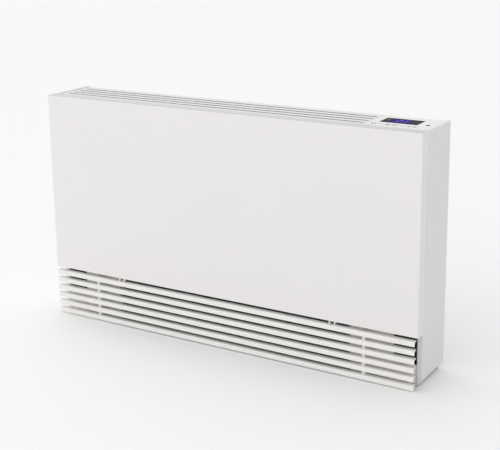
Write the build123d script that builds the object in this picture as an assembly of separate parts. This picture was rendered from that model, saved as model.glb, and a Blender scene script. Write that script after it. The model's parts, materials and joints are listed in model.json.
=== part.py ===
from build123d import *
import math
import os

# Slim wall-standing fan convector heater.
# +X runs along the heater (the controls are at the +X end), the front faces -Y, the wall is at +Y,
# +Z is up, and the origin is the middle of the footprint. Millimetres.

# ---------------------------------------------------------------- overall sizes
width = 1010.0
height = 580.0
depth = 155.0

# ---------------------------------------------------------------- casing
cover_depth = 31.0           # the front cover stands this far in front of the cheeks
cover_sheet = 1.5
cover_gap = 0.8              # shadow gap between the cover's returns and the cheeks
cover_edge_radius = 2.0
cover_heel_radius = 8.0      # lower back corners of the side returns
cover_foot = 12.0            # depth of the bottom return
cheek_wall = 2.0
cheek_flange = 13.0          # front and bottom flanges of a cheek
cheek_lip = 10.0             # top flange of a cheek
cheek_lift = 2.5             # a cheek's bottom above the floor
cheek_chamfer = (11.0, 15.0) # bevel along a cheek's lower outer edge, across and up
cheek_edge_radius = 2.5
frame_sheet = 1.2            # galvanised sheet of the frame
fit_gap = 0.5                # between pieces that slip into each other
liner_thickness = 6.0
liner_margin = 42.0
upright_foot = 20.0          # flange that an upright stands on

# ---------------------------------------------------------------- intake grille
blade_count = 6
blade_pitch = 20.7
blade_face = 11.0            # height of a blade's front face
blade_lean = 1.0             # the face's top stands behind its tip
blade_reach = 11.5           # front to back
blade_top_rise = 1.0         # the top climbs this much towards its back edge
blade_corner = 3.0           # radius between face and top
blade_thickness = 1.8
blade_left_gap = 0.5         # from the blades' ends to the heater's sides
blade_right_gap = 8.0
floor_gap = 2.5              # under the lowest blade
rib_width = 8.0
rib_recess = 5.0             # the ribs' front edge behind the blades' tips
rib_inset = 131.0            # from the heater's side
bracket_inset = 70.0         # from the heater's side to the bracket's full height
bracket_length = 106.0
bracket_foot_height = 50.0
bracket_flange = 34.0
stud_radius = 2.5
stud_gap = 0.3
stud_length = 8.0
prong_width = 2.5
prong_insets = (202.0, 215.0)  # from the heater's side

# ---------------------------------------------------------------- outlet grille and controls
grille_drop = 1.5            # below the cheeks' top
grille_height = 12.0
grille_cover_gap = 0.5
slot_count = 4
slot_width = 9.0
slot_pitch = 23.5
first_slot = 54.5            # from the front face
slot_end_margin = 14.5
slot_control_gap = 5.0
control_length = 144.5       # along X, at the right end
grille_rib_pitch = 106.0
grille_rib_width = 3.0
grille_rib_height = 6.0
plate_thickness = 3.0
plate_skirt = 2.0
window_length = 88.5
window_depth = 49.0
window_from_front = 78.0
window_inset = 36.0          # from the control panel's right edge
glass_gap = 0.1
glass_thickness = 1.6
sensor_radius = 5.0
sensor_inset = 13.8
sensor_from_front = 86.0

# ---------------------------------------------------------------- fan
fan_radius = 45.0
pipe_bay = 111.0             # from the left side to the fan
service_bay = 191.0          # from the fan to the right side
fan_from_back = 69.5
fan_drop = 100.0             # fan axis below the top
fan_blades = 30
fan_discs = 6
disc_thickness = 3.0
disc_rim = 11.5
shaft_radius = 4.0
shaft_gap = 0.05             # running clearance
bearing_radius = 11.0
bearing_length = 10.0
volute_room = 18.0           # the duct's radius beyond the rotor's
volute_lift = 12.0           # volute centre above the fan axis
volute_wall = 2.0
tongue_gap = 4.0
motor_radius = 36.0
motor_length = 50.0
motor_wall = 2.0
stator_thickness = 10.0
rotor_air_gap = 1.0
shaft_hole_gap = 8.0         # around the shaft in the section plates

# ---------------------------------------------------------------- heat exchanger
coil_thickness = 28.0
coil_tilt = 14.0             # degrees, top towards the front
coil_from_back = 63.5        # its middle
coil_above_tray = 2.0
coil_below_fan = 30.0        # under the fan duct
coil_end_margin = 8.0        # beyond the outer tubes
tube_radius = 4.8
tube_wall = 0.7
tube_pitch = 25.0
tube_rows = 14.0             # between the two rows
tube_stub = 4.0              # beyond the section plates
tube_hole_gap = 0.3
section_sheet = 1.5
section_margin = 14.0        # from the fan's ends to the section plates
fin_margin = 6.0             # from the fins to the section plates
header_radius = 11.0
header_bore = 8.0
header_place = 36.0          # outside the left section plate
header_cap = 14.0
union_radius = 13.2          # three-quarter inch male thread
union_bore = 9.0
union_length = 15.0
union_collar = 16.0
union_collar_height = 12.0
union_drop = 13.5            # below the cover's bottom edge
vent_radius = 5.0
vent_height = 12.0
vent_bore = 2.0
vent_screw_length = 9.0
vent_knob_radius = 4.5
vent_knob_length = 5.0

# ---------------------------------------------------------------- drip tray and filter
tray_rise = 1.0              # above the cover's bottom edge
tray_height = 20.0
tray_wall = 2.0
tray_width = 64.0
spigot_radius = 8.0
spigot_bore = 6.0
spigot_length = 20.0
spigot_inset = 24.0
filter_bottom = 4.0
filter_top_gap = 4.0
filter_thickness = 6.8
filter_rim = 9.0
filter_mesh = 0.8
filter_bars = 3
guide_wall = 2.0
guide_gap = 0.6
guide_depth = 8.0
guide_behind = 3.0           # behind the rails

# ---------------------------------------------------------------- electrics
box_length = 90.0
box_drop = 50.0              # below the top
box_height = 230.0
box_depth = 92.0
box_wall = 2.0
board_thickness = 1.6
board_margin = 8.0
gland_radius = 8.0
gland_bore = 5.0
gland_length = 24.0
gland_nut = 11.0

# ---------------------------------------------------------------- fixings
wall_hole_radius = 4.5
wall_hole_inset = 45.0       # from the sides
wall_hole_low = 90.0
wall_hole_drop = 60.0        # from the top
rail_height = 30.0
rail_tab = 14.0
cover_stud_radius = 3.0
cover_stud_base = 7.0
cover_stud_inset = 75.0      # from the sides
cover_stud_reach = 8.0       # past the rails
screw_radius = 1.6
screw_head = 3.5
screw_head_height = 2.2
screw_length = 8.0
screw_gap = 0.1

# ---------------------------------------------------------------- planes worked out from the sizes
side = width / 2
front = -depth / 2
back = depth / 2
cheek_front = front + cover_depth
rail_front = cheek_front + cheek_wall
rail_back = rail_front + frame_sheet
plate_front = back - frame_sheet                       # inner face of the back plate
panel_bottom = floor_gap + blade_count * blade_pitch
blade_height = blade_face + blade_top_rise
blades_top = panel_bottom - blade_pitch + blade_height
bevel_top = cheek_lift + cheek_chamfer[1] + fit_gap    # the frame stays above the cheeks' bevel
grille_top = height - grille_drop
grille_bottom = grille_top - grille_height
grille_side = side - cheek_lip - fit_gap
grille_front = cheek_front + grille_cover_gap
grille_back = plate_front - fit_gap
web_outer = side - cheek_flange - fit_gap
web_inner = web_outer - frame_sheet
control_left = grille_side - control_length
fan_left = -side + pipe_bay
fan_right = side - service_bay
fan_y = back - fan_from_back
plate_left_outer = fan_left - section_margin - section_sheet
plate_left_inner = fan_left - section_margin
plate_right_inner = fan_right + section_margin
plate_right_outer = plate_right_inner + section_sheet
tray_bottom = panel_bottom + tray_rise
tray_top = tray_bottom + tray_height
section_bottom = tray_top + coil_above_tray
fan_z = height - fan_drop
volute_radius = fan_radius + volute_room
rail_low = (panel_bottom + fit_gap, panel_bottom + fit_gap + rail_height)
rail_high = (grille_bottom - rail_height, grille_bottom)
rail_centres = [(low + high) / 2 for low, high in (rail_low, rail_high)]
bracket_outer = side - bracket_inset
bracket_inner = bracket_outer - bracket_length
rib_place = side - rib_inset
cover_stud_x = side - cover_stud_inset
wall_hole_x = side - wall_hole_inset
wall_hole_high = height - wall_hole_drop
box_bottom = height - box_drop - box_height
union_bottom = panel_bottom - union_drop


def block(x, y, z):
    # a box between three pairs of limits
    spans = (x, y, z)
    size = [high - low for low, high in spans]
    middle = [(low + high) / 2 for low, high in spans]
    return Pos(*middle) * Box(*size)


def rod(start, direction, radius, length):
    # a round bar from a point along a direction
    place = Plane(origin=start, z_dir=direction)
    return place * Cylinder(radius, length, align=(Align.CENTER, Align.CENTER, Align.MIN))


def tube(start, direction, radius, bore, length):
    return rod(start, direction, radius, length) - rod(start, direction, bore, length)


def flipped(shape):
    # the same piece at the other end of the heater
    return mirror(shape, about=Plane.YZ)


def bent(x, sketch):
    # a section drawn in Y and Z, drawn out from x[0] to x[1]
    return Pos(x[0], 0, 0) * extrude(Plane.YZ * sketch, amount=x[1] - x[0])


def save(name, *shapes):
    solids = [solid for shape in shapes for solid in shape.solids()]
    body = solids[0] if len(solids) == 1 else Compound(children=solids)
    export_step(body, os.path.join("parts", name + ".step"))


def screw(tip_side, direction, length=screw_length):
    # a pan-head screw: the head's seat is at tip_side and the shank runs along direction
    seat = Vector(*tip_side)
    along = Vector(*direction)
    head = rod(seat, -along, screw_head, screw_head_height)
    return head + rod(seat, along, screw_radius, length)


def drilled(shape, seats, direction, radius=screw_radius + screw_gap, length=screw_length):
    for seat in seats:
        shape -= rod(Vector(*seat) - Vector(*direction) * screw_head_height, direction, radius,
                     length + 2 * screw_head_height)
    return shape


os.makedirs("parts", exist_ok=True)

# ---------------------------------------------------------------- screw places
cheek_seats = [(side - cheek_flange / 2 - 2, cheek_front, z) for z in
               (panel_bottom + 60, (panel_bottom + height) / 2, height - 60)]
cheek_seats += [(-x, y, z) for x, y, z in cheek_seats]
motor_seats = [(plate_right_inner, fan_y + motor_radius * 0.7 * dy, fan_z + motor_radius * 0.7 * dz)
               for dy, dz in ((1, 1), (-1, 1), (1, -1), (-1, -1))]
box_front = rail_back + guide_behind
box_back = box_front + box_depth
box_left = web_inner - box_length
box_top = box_bottom + box_height
lid_seats = [(x, box_front - box_wall, z) for x in (box_left + 6, web_inner - 6)
             for z in (box_bottom + 6, box_top - 6)]

# ---------------------------------------------------------------- frame
back_plate = block((-side + cheek_wall + fit_gap, side - cheek_wall - fit_gap), (plate_front, back),
                   (bevel_top, height - cheek_wall - fit_gap))
back_plate += block((-web_inner, web_inner), (plate_front, back), (0, bevel_top))
back_plate += block((-web_inner + upright_foot, web_inner - upright_foot), (plate_front - rail_tab, back),
                    (0, frame_sheet))
for x in (-wall_hole_x, wall_hole_x):
    for z in (wall_hole_low, wall_hole_high):
        back_plate -= rod((x, plate_front - 1, z), (0, 1, 0), wall_hole_radius, frame_sheet + 2)
save("back_frame", back_plate)


def side_upright():
    # channel that carries a cheek: web, front flange behind the cheek's flange, and foot
    web = block((web_inner, web_outer), (rail_front, plate_front), (0, grille_bottom))
    flange = block((web_inner, side - cheek_wall - fit_gap), (rail_front, rail_back),
                   (bevel_top, grille_bottom))
    foot = block((web_inner - upright_foot, web_outer), (rail_front, plate_front), (0, frame_sheet))
    upright = web + flange + foot
    right_seats = [seat for seat in cheek_seats if seat[0] > 0]
    return drilled(upright, right_seats, (0, 1, 0))


save("side_upright_right", side_upright())
save("side_upright_left", flipped(side_upright()))


def cross_rail(z):
    # folded rail between the uprights, with an end tab at each upright and two stud holes
    rail = block((-web_inner, web_inner), (rail_front, rail_back), z)
    tab = block((web_inner - frame_sheet, web_inner), (rail_front, rail_front + rail_tab), z)
    rail += tab
    rail += flipped(tab)
    middle = (z[0] + z[1]) / 2
    for x in (-cover_stud_x, cover_stud_x):
        rail -= rod((x, rail_front - 1, middle), (0, 1, 0), cover_stud_base, frame_sheet + 2)
    return rail


save("front_rail_lower", cross_rail(rail_low))
save("front_rail_upper", cross_rail(rail_high))


# ---------------------------------------------------------------- cheeks
def cheek():
    # outline seen from the front, with the bevel at its lower outer corner
    across, up = cheek_chamfer
    inner_x = side - cheek_flange

    def outline(wall):
        points = [(inner_x, cheek_lift + wall), (side - across - wall / 2, cheek_lift + wall),
                  (side - wall, cheek_lift + up + wall / 3), (side - wall, height - wall),
                  (inner_x, height - wall)]
        return Plane.XZ * make_face(Polyline(*points, close=True))

    shell = Pos(0, back, 0) * extrude(outline(0), amount=back - cheek_front)
    corner = [edge for edge in shell.edges().filter_by(Axis.Z)
              if edge.center().X > side - 0.1 and edge.center().Y < cheek_front + 0.1]
    shell = fillet(corner, cheek_edge_radius)
    shell -= Pos(0, back + 1, 0) * extrude(outline(cheek_wall), amount=back + 1 - cheek_front - cheek_wall)
    # room for the outlet grille above the front flange
    shell -= block((inner_x - 1, side - cheek_lip), (cheek_front - 1, back + 1),
                   (grille_bottom - fit_gap, height + 1))
    return drilled(shell, [seat for seat in cheek_seats if seat[0] > 0], (0, 1, 0))


save("right_cheek", cheek())
save("left_cheek", flipped(cheek()))

# ---------------------------------------------------------------- front cover
cover_back = cheek_front - cover_gap
outer = block((-side, side), (front, cover_back), (panel_bottom, height))
heel = [edge for edge in outer.edges().filter_by(Axis.X)
        if edge.center().Y > cover_back - 0.1 and edge.center().Z < panel_bottom + 0.1]
outer = fillet(heel, cover_heel_radius)
rim = [edge for edge in outer.edges() if edge.center().Y < front + 0.1]
outer = fillet(rim, cover_edge_radius)
inner = block((-side + cover_sheet, side - cover_sheet), (front + cover_sheet, cheek_front),
              (panel_bottom + cover_sheet, height - cover_sheet))
under = block((-side + cover_sheet, side - cover_sheet), (front + cover_foot, cheek_front),
              (panel_bottom - 1, panel_bottom + cover_sheet + 1))
cover = outer - inner - under
for inset in prong_insets:
    prong = block((side - inset - prong_width / 2, side - inset + prong_width / 2),
                  (front + cover_sheet, front + cover_foot),
                  (blades_top + fit_gap, panel_bottom + cover_sheet))
    cover += prong
    cover += flipped(prong)
save("front_cover", cover)

liner = block((-side + liner_margin, side - liner_margin),
              (front + cover_sheet, front + cover_sheet + liner_thickness),
              (panel_bottom + liner_margin, height - liner_margin))
stud_points = [(x, z) for x in (-cover_stud_x, cover_stud_x) for z in rail_centres]
studs = []
sockets = []
for x, z in stud_points:
    liner -= rod((x, front, z), (0, 1, 0), cover_stud_base + fit_gap, cover_depth)
    base = rod((x, front + cover_sheet, z), (0, 1, 0), cover_stud_base, liner_thickness)
    studs.append(base + rod((x, front + cover_sheet, z), (0, 1, 0), cover_stud_radius,
                            rail_back + cover_stud_reach - front - cover_sheet))
    socket = tube((x, rail_front, z), (0, 1, 0), cover_stud_base, cover_stud_radius + stud_gap,
                  cover_stud_reach + frame_sheet)
    sockets.append(socket)
save("cover_liner", liner)
save("cover_studs", *studs)
save("cover_sockets", *sockets)

# ---------------------------------------------------------------- intake grille
blade_section = make_face(Polyline(
    (0, 0), (blade_lean, blade_face), (blade_reach, blade_height),
    (blade_reach, blade_height - blade_thickness),
    (blade_lean + blade_thickness, blade_face - blade_thickness), (blade_thickness, 0), close=True))
outer_corner = blade_section.vertices().sort_by_distance((blade_lean, blade_face))[0]
blade_section = fillet(outer_corner, blade_corner)
inner_corner = blade_section.vertices().sort_by_distance(
    (blade_lean + blade_thickness, blade_face - blade_thickness))[0]
blade_section = fillet(inner_corner, blade_corner - blade_thickness)
blade_span = (-side + blade_left_gap, side - blade_right_gap)
blades = []
for number in range(blade_count):
    tip = floor_gap + number * blade_pitch
    blade = bent(blade_span, Pos(front, tip) * blade_section)
    blades.append(blade)
    save(f"intake_blade_{number + 1}", blade)


def comb(centre):
    # upright rib that carries the blades, with two studs that push into the bracket behind
    rib = block((centre - rib_width / 2, centre + rib_width / 2), (front + rib_recess, rail_front - fit_gap),
                (floor_gap + 1, blades_top))
    for each in blades:
        rib -= each
    rib = rib.solids().sort_by(SortBy.VOLUME)[-1]
    for z in rib_stud_heights:
        rib += rod((centre, rail_front - fit_gap, z), (0, 1, 0), stud_radius, stud_length)
    return rib


rib_stud_heights = (floor_gap + blade_pitch, floor_gap + (blade_count - 1.5) * blade_pitch)
save("intake_rib_right", comb(rib_place))
save("intake_rib_left", comb(-rib_place))


def grille_bracket():
    # L-shaped plate behind the blades' ends, with a flange folded back beside the filter
    y = (rail_front, rail_front + cheek_wall)
    low = frame_sheet + fit_gap
    plate = block((bracket_inner, bracket_outer), y, (low, panel_bottom))
    plate += block((bracket_outer - 1, web_inner), y, (low, bracket_foot_height))
    plate += block((bracket_inner, bracket_inner + cheek_wall), (rail_front, rail_front + bracket_flange),
                   (low, panel_bottom))
    for z in rib_stud_heights:
        plate -= rod((rib_place, rail_front - 1, z), (0, 1, 0), stud_radius + stud_gap, cheek_wall + 2)
    return plate


save("grille_bracket_right", grille_bracket())
save("grille_bracket_left", flipped(grille_bracket()))

# ---------------------------------------------------------------- filter
guide_front = rail_front + cheek_wall + guide_behind - guide_wall
guide_inside = guide_front + guide_wall
guide_back = guide_inside + filter_thickness + 2 * guide_gap
filter_top = panel_bottom - filter_top_gap
guide_span = (frame_sheet + fit_gap, panel_bottom)
guide = block((bracket_inner - guide_depth, bracket_inner), (guide_front, guide_back + guide_wall),
              guide_span)
guide -= block((bracket_inner - guide_depth - 1, bracket_inner - guide_wall), (guide_inside, guide_back),
               (0, height))
save("filter_guides", guide, flipped(guide))

filter_side = bracket_inner - guide_wall - guide_gap
filter_y = (guide_inside + guide_gap, guide_inside + guide_gap + filter_thickness)
filter_z = (filter_bottom, filter_top)
rim_z = (filter_bottom + filter_rim, filter_top - filter_rim)
filter_frame = block((-filter_side, filter_side), filter_y, filter_z)
bay = (2 * filter_side - (filter_bars + 2) * filter_rim) / (filter_bars + 1)
mesh_y = (sum(filter_y) / 2 - filter_mesh / 2, sum(filter_y) / 2 + filter_mesh / 2)
meshes = []
for number in range(filter_bars + 1):
    left = -filter_side + filter_rim + number * (bay + filter_rim)
    filter_frame -= block((left, left + bay), (filter_y[0] - 1, filter_y[1] + 1), rim_z)
    meshes.append(block((left, left + bay), mesh_y, rim_z))
save("filter_frame", filter_frame)
save("filter_mesh", *meshes)

# ---------------------------------------------------------------- outlet grille
slot_rows = [front + first_slot + number * slot_pitch for number in range(slot_count)]
outlet = block((-grille_side, control_left), (grille_front, grille_back), (grille_bottom, grille_top))
slot_x = (-grille_side + slot_end_margin, control_left - slot_control_gap)
rib_total = int((slot_x[1] - slot_x[0]) // grille_rib_pitch)
cell = (slot_x[1] - slot_x[0] - rib_total * grille_rib_width) / (rib_total + 1)
for y in slot_rows:
    across = (y - slot_width / 2, y + slot_width / 2)
    outlet -= block(slot_x, across, (grille_bottom + grille_rib_height, grille_top + 1))
    for number in range(rib_total + 1):
        start = slot_x[0] + number * (cell + grille_rib_width)
        outlet -= block((start, start + cell), across, (grille_bottom - 1, grille_top + 1))
save("outlet_grille", outlet)

# ---------------------------------------------------------------- control panel
control_x = (control_left + fit_gap, grille_side)
control_y = (grille_front, grille_back)
window_x = (grille_side - window_inset - window_length, grille_side - window_inset)
window_y = (front + window_from_front, front + window_from_front + window_depth)
sensor_place = (grille_side - sensor_inset, front + sensor_from_front)
glass_bottom = grille_top - glass_thickness
panel = block(control_x, control_y, (grille_bottom, grille_top))
panel -= block((control_x[0] + plate_skirt, control_x[1] - plate_skirt),
               (control_y[0] + plate_skirt, control_y[1] - plate_skirt),
               (grille_bottom - 1, grille_top - plate_thickness))
panel -= block(window_x, window_y, (grille_bottom, height))
panel -= rod((*sensor_place, grille_bottom), (0, 0, 1), sensor_radius + glass_gap, height)
save("control_panel", panel)

glass = block((window_x[0] + glass_gap, window_x[1] - glass_gap),
              (window_y[0] + glass_gap, window_y[1] - glass_gap), (glass_bottom, grille_top))
save("display_glass", glass)
sensor = rod((*sensor_place, grille_top - plate_thickness), (0, 0, 1), sensor_radius, plate_thickness)
save("sensor_window", sensor)

board_z = (grille_bottom, grille_bottom + board_thickness)
display_board = block((control_x[0] + plate_skirt, control_x[1] - plate_skirt),
                      (window_y[0] - 30, window_y[1] + board_margin), board_z)
save("display_board", display_board)
module = block((window_x[0] + 3, window_x[1] - 3), (window_y[0] + 3, window_y[1] - 3),
               (board_z[1], glass_bottom))
save("display_module", module)

# ---------------------------------------------------------------- section plates
coil_top = fan_z + volute_lift - volute_radius - volute_wall - coil_below_fan
tilt_cos = math.cos(math.radians(coil_tilt))
tilt_sin = math.sin(math.radians(coil_tilt))
coil_length = (coil_top - section_bottom - coil_thickness * tilt_sin) / tilt_cos
coil_half = coil_length / 2
coil_y = back - coil_from_back
coil_z = (section_bottom + coil_top) / 2
tubes_per_row = 2 * int((coil_length - 2 * coil_end_margin + tube_pitch) / tube_pitch / 2)
coil_place = Pos(0, coil_y, coil_z) * Rot(coil_tilt, 0, 0)
tube_spots = [(row * tube_rows / 2, (number - (tubes_per_row - 1) / 2) * tube_pitch)
              for row in (-1, 1) for number in range(tubes_per_row)]


def section_plate(x, shaft_hole):
    # wall at each end of the fan and heat exchanger
    plate = block(x, (rail_back + fit_gap, plate_front), (section_bottom, grille_bottom))
    for y, z in tube_spots:
        hole = rod((x[0] - 1, y, z), (1, 0, 0), tube_radius + tube_hole_gap, section_sheet + 2)
        plate -= Pos(0, coil_y, coil_z) * (Rot(coil_tilt, 0, 0) * hole)
    plate -= rod((x[0] - 1, fan_y, fan_z), (1, 0, 0), shaft_hole, section_sheet + 2)
    return plate


save("section_plate_left", section_plate((plate_left_outer, plate_left_inner), bearing_radius))
right_plate = section_plate((plate_right_inner, plate_right_outer), shaft_radius + shaft_hole_gap)
save("section_plate_right", drilled(right_plate, motor_seats, (1, 0, 0)))

# ---------------------------------------------------------------- heat exchanger
fins = block((plate_left_inner + fin_margin, plate_right_inner - fin_margin),
             (-coil_thickness / 2, coil_thickness / 2), (-coil_half, coil_half))
tube_start = plate_left_outer - tube_stub
tube_end = plate_right_outer + tube_stub
tubes = []
for y, z in tube_spots:
    fins -= rod((tube_start, y, z), (1, 0, 0), tube_radius, tube_end - tube_start)
    tubes.append(tube((tube_start, y, z), (1, 0, 0), tube_radius, tube_radius - tube_wall,
                      tube_end - tube_start))
save("coil_fins", coil_place * fins)
save("coil_tubes", *[coil_place * each for each in tubes])

bends = []
# align=None keeps the half ring's flat ends on the origin's plane
bend = Torus(tube_pitch / 2, tube_radius, major_angle=180, align=None)
bend -= Torus(tube_pitch / 2, tube_radius - tube_wall, major_angle=180, align=None)
bend = Rot(90, 0, 0) * (Rot(0, 0, -90) * bend)
for row in (-1, 1):
    for number in range(tubes_per_row - 1):
        middle = (number + 0.5 - (tubes_per_row - 1) / 2) * tube_pitch
        at_right = number % 2 == 0
        half = Rot(0, 0, 0 if at_right else 180) * bend
        x = tube_end if at_right else tube_start
        bends.append(coil_place * (Pos(x, row * tube_rows / 2, middle) * half))
save("return_bends", *bends)

header_x = plate_left_outer - header_place
union_top = union_bottom + union_length + union_collar_height


def header(number):
    # vertical manifold that joins the same tube of both rows and runs down to its union
    spots = [coil_place * Location((0, row * tube_rows / 2, (number - (tubes_per_row - 1) / 2) * tube_pitch))
             for row in (-1, 1)]
    points = [spot.position for spot in spots]
    y = sum(point.Y for point in points) / 2
    top = max(point.Z for point in points) + header_cap
    pipe = rod((header_x, y, union_top), (0, 0, 1), header_radius, top - union_top)
    for point in points:
        pipe += rod((header_x, point.Y, point.Z), (1, 0, 0), tube_radius, tube_start - header_x)
    pipe -= rod((header_x, y, union_top - 1), (0, 0, 1), header_bore, top - union_top - 2)
    return pipe, y, top


def union(y):
    # collar with a male threaded end that faces down
    collar = Pos(header_x, y, union_bottom + union_length) * extrude(
        RegularPolygon(union_collar, 6), amount=union_collar_height)
    end = rod((header_x, y, union_bottom), (0, 0, 1), union_radius, union_length)
    return collar + end - rod((header_x, y, union_bottom - 1), (0, 0, 1), union_bore,
                              union_length + union_collar_height + 2)


supply, supply_y, supply_top = header(0)
returning, return_y, return_top = header(tubes_per_row - 1)
save("supply_header", supply)
save("return_header", returning)
save("supply_union", union(supply_y))
save("return_union", union(return_y))

vent = rod((header_x, return_y, return_top), (0, 0, 1), vent_radius, vent_height)
vent_z = return_top + vent_height / 2
vent -= rod((header_x - vent_radius, return_y, vent_z), (1, 0, 0), vent_bore + shaft_gap, vent_radius + 2)
save("air_vent", vent)
vent_screw = rod((header_x, return_y, vent_z), (-1, 0, 0), vent_bore, vent_screw_length)
vent_screw += rod((header_x - vent_screw_length, return_y, vent_z), (-1, 0, 0), vent_knob_radius,
                  vent_knob_length)
save("vent_screw", vent_screw)

# ---------------------------------------------------------------- drip tray
tray_x = (plate_left_outer, plate_right_outer)
tray_y = (plate_front - fit_gap - tray_width, plate_front - fit_gap)
tray = block(tray_x, tray_y, (tray_bottom, tray_top))
tray -= block((tray_x[0] + tray_wall, tray_x[1] - tray_wall), (tray_y[0] + tray_wall, tray_y[1] - tray_wall),
              (tray_bottom + tray_wall, height))
spigot_x = tray_x[0] + spigot_inset
spigot_y = sum(tray_y) / 2
tray += rod((spigot_x, spigot_y, tray_bottom - spigot_length), (0, 0, 1), spigot_radius, spigot_length)
tray -= rod((spigot_x, spigot_y, tray_bottom - spigot_length - 1), (0, 0, 1), spigot_bore,
            spigot_length + tray_wall + 2)
save("drip_tray", tray)

# ---------------------------------------------------------------- fan
fan_length = fan_right - fan_left
vane = (Circle(12.0) - Circle(11.0)) & (Pos(12.0, 0) * Rectangle(8.0, 9.0))
vane = Rot(0, 0, 62) * (Pos(-11.5, 0) * vane)
vane_ring = PolarLocations(fan_radius - disc_rim / 2, fan_blades)
vanes = Sketch() + [spot * vane for spot in vane_ring]
rotor = bent((0, fan_length), vanes)
disc_pitch = (fan_length - disc_thickness) / (fan_discs - 1)
for number in range(fan_discs):
    is_end = number in (0, fan_discs - 1)
    ring = Circle(fan_radius) - Circle(shaft_radius if is_end else fan_radius - disc_rim)
    start = number * disc_pitch
    rotor += bent((start, start + disc_thickness), ring)
fan_place = Pos(fan_left, fan_y, fan_z)
save("fan_rotor", fan_place * rotor)

bearing_x = plate_left_outer - bearing_length + section_sheet
stub_end = plate_left_outer - bearing_length
save("fan_stub_shaft", rod((stub_end, fan_y, fan_z), (1, 0, 0), shaft_radius,
                           fan_left + disc_thickness - stub_end))
save("fan_bearing", tube((bearing_x, fan_y, fan_z), (1, 0, 0), bearing_radius, shaft_radius + shaft_gap,
                         bearing_length))
holder = tube((bearing_x, fan_y, fan_z), (1, 0, 0), bearing_radius + 5, bearing_radius,
              plate_left_outer - bearing_x)
holder += tube((plate_left_outer - 2, fan_y, fan_z), (1, 0, 0), bearing_radius + 16, bearing_radius, 2)
save("bearing_holder", holder)

motor_x = (plate_right_outer, plate_right_outer + motor_length)
motor_end = motor_x[1] - motor_wall
can = rod((motor_x[0], fan_y, fan_z), (1, 0, 0), motor_radius, motor_length)
can -= rod((motor_x[0] + motor_wall, fan_y, fan_z), (1, 0, 0), motor_radius - motor_wall,
           motor_length - 2 * motor_wall)
can += rod((motor_end - 6, fan_y, fan_z), (1, 0, 0), shaft_radius + 4, 6)
can -= rod((motor_x[0] - 1, fan_y, fan_z), (1, 0, 0), shaft_radius + shaft_gap, motor_length - motor_wall)
save("motor_housing", drilled(can, motor_seats, (1, 0, 0)))
stator_x = (motor_x[0] + motor_wall + 8, motor_end - 12)
stator_bore = motor_radius - motor_wall - stator_thickness
save("motor_stator", tube((stator_x[0], fan_y, fan_z), (1, 0, 0), motor_radius - motor_wall, stator_bore,
                          stator_x[1] - stator_x[0]))
save("motor_magnet", tube((stator_x[0], fan_y, fan_z), (1, 0, 0), stator_bore - rotor_air_gap, shaft_radius,
                          stator_x[1] - stator_x[0]))
shaft_start = fan_right - disc_thickness
save("motor_shaft", rod((shaft_start, fan_y, fan_z), (1, 0, 0), shaft_radius, motor_end - 2 - shaft_start))

# ---------------------------------------------------------------- fan duct
volute_z = fan_z + volute_lift
volute_y = plate_front - fit_gap - volute_wall - volute_radius
duct_x = (plate_left_inner, plate_right_inner)
arc = Circle(volute_radius + volute_wall) - Circle(volute_radius)
arc &= Pos(volute_radius, -volute_radius) * Rectangle(2 * volute_radius, 2 * volute_radius)
volute = Pos(volute_y, volute_z) * arc
straight = grille_bottom - volute_z
volute += Pos(volute_y + volute_radius + volute_wall / 2, volute_z + straight / 2) * Rectangle(
    volute_wall, straight)
save("fan_volute", bent(duct_x, volute))

tongue_low = fan_z + fan_radius * 0.55
tongue_y = fan_y - (fan_radius ** 2 - (tongue_low - fan_z) ** 2) ** 0.5 - tongue_gap
tongue = block(duct_x, (tongue_y - volute_wall, tongue_y), (tongue_low, grille_bottom))
tongue += block(duct_x, (rail_back + fit_gap, tongue_y), (tongue_low, tongue_low + volute_wall))
save("fan_tongue", tongue)

# ---------------------------------------------------------------- electrics
box_x = (box_left, web_inner)
box_y = (box_front, box_back)
box_z = (box_bottom, box_top)
case = block(box_x, box_y, box_z)
case -= block((box_x[0] + box_wall, box_x[1] - box_wall), (box_y[0] - 1, box_y[1] - box_wall),
              (box_z[0] + box_wall, box_z[1] - box_wall))
for x, y, z in lid_seats:
    case += block((x - 4, x + 4), (box_front, box_front + 10), (z - 4, z + 4))
gland_x = sum(box_x) / 2
gland_y = sum(box_y) / 2
case -= rod((gland_x, gland_y, box_bottom - 1), (0, 0, 1), gland_radius, box_wall + 2)
save("electrical_box", drilled(case, lid_seats, (0, 1, 0)))
lid = block(box_x, (box_front - box_wall, box_front), box_z)
save("electrical_lid", drilled(lid, lid_seats, (0, 1, 0)))

main_board_y = box_y[1] - box_wall - 6
main_board = block((box_x[0] + board_margin, box_x[1] - board_margin),
                   (main_board_y, main_board_y + board_thickness),
                   (box_z[0] + board_margin, box_z[1] - board_margin))
for z in (box_z[0] + 40, box_z[1] - 20):
    for x in (box_x[0] + board_margin + 4, box_x[1] - board_margin - 4):
        main_board += rod((x, main_board_y + board_thickness, z), (0, 1, 0), 3, 6 - board_thickness)
save("main_board", main_board)
transformer = block((box_x[0] + 14, box_x[0] + 50), (main_board_y - 30, main_board_y),
                    (box_z[1] - 60, box_z[1] - 20))
capacitors = [rod((box_x[1] - 24, main_board_y, box_z[1] - 30 - 24 * number), (0, -1, 0), 9, 26)
              for number in range(3)]
relays = [block((box_x[0] + 16 + 22 * number, box_x[0] + 34 + 22 * number), (main_board_y - 16, main_board_y),
                (box_z[0] + 70, box_z[0] + 92)) for number in range(2)]
save("board_components", transformer, *capacitors, *relays)
terminals = block((box_x[0] + 14, box_x[1] - 14), (main_board_y - 22, main_board_y),
                  (box_z[0] + 16, box_z[0] + 32))
for number in range(5):
    x = box_x[0] + 21 + 12 * number
    terminals -= rod((x, main_board_y - 23, box_z[0] + 24), (0, 1, 0), 3, 8)
save("terminal_block", terminals)

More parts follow.
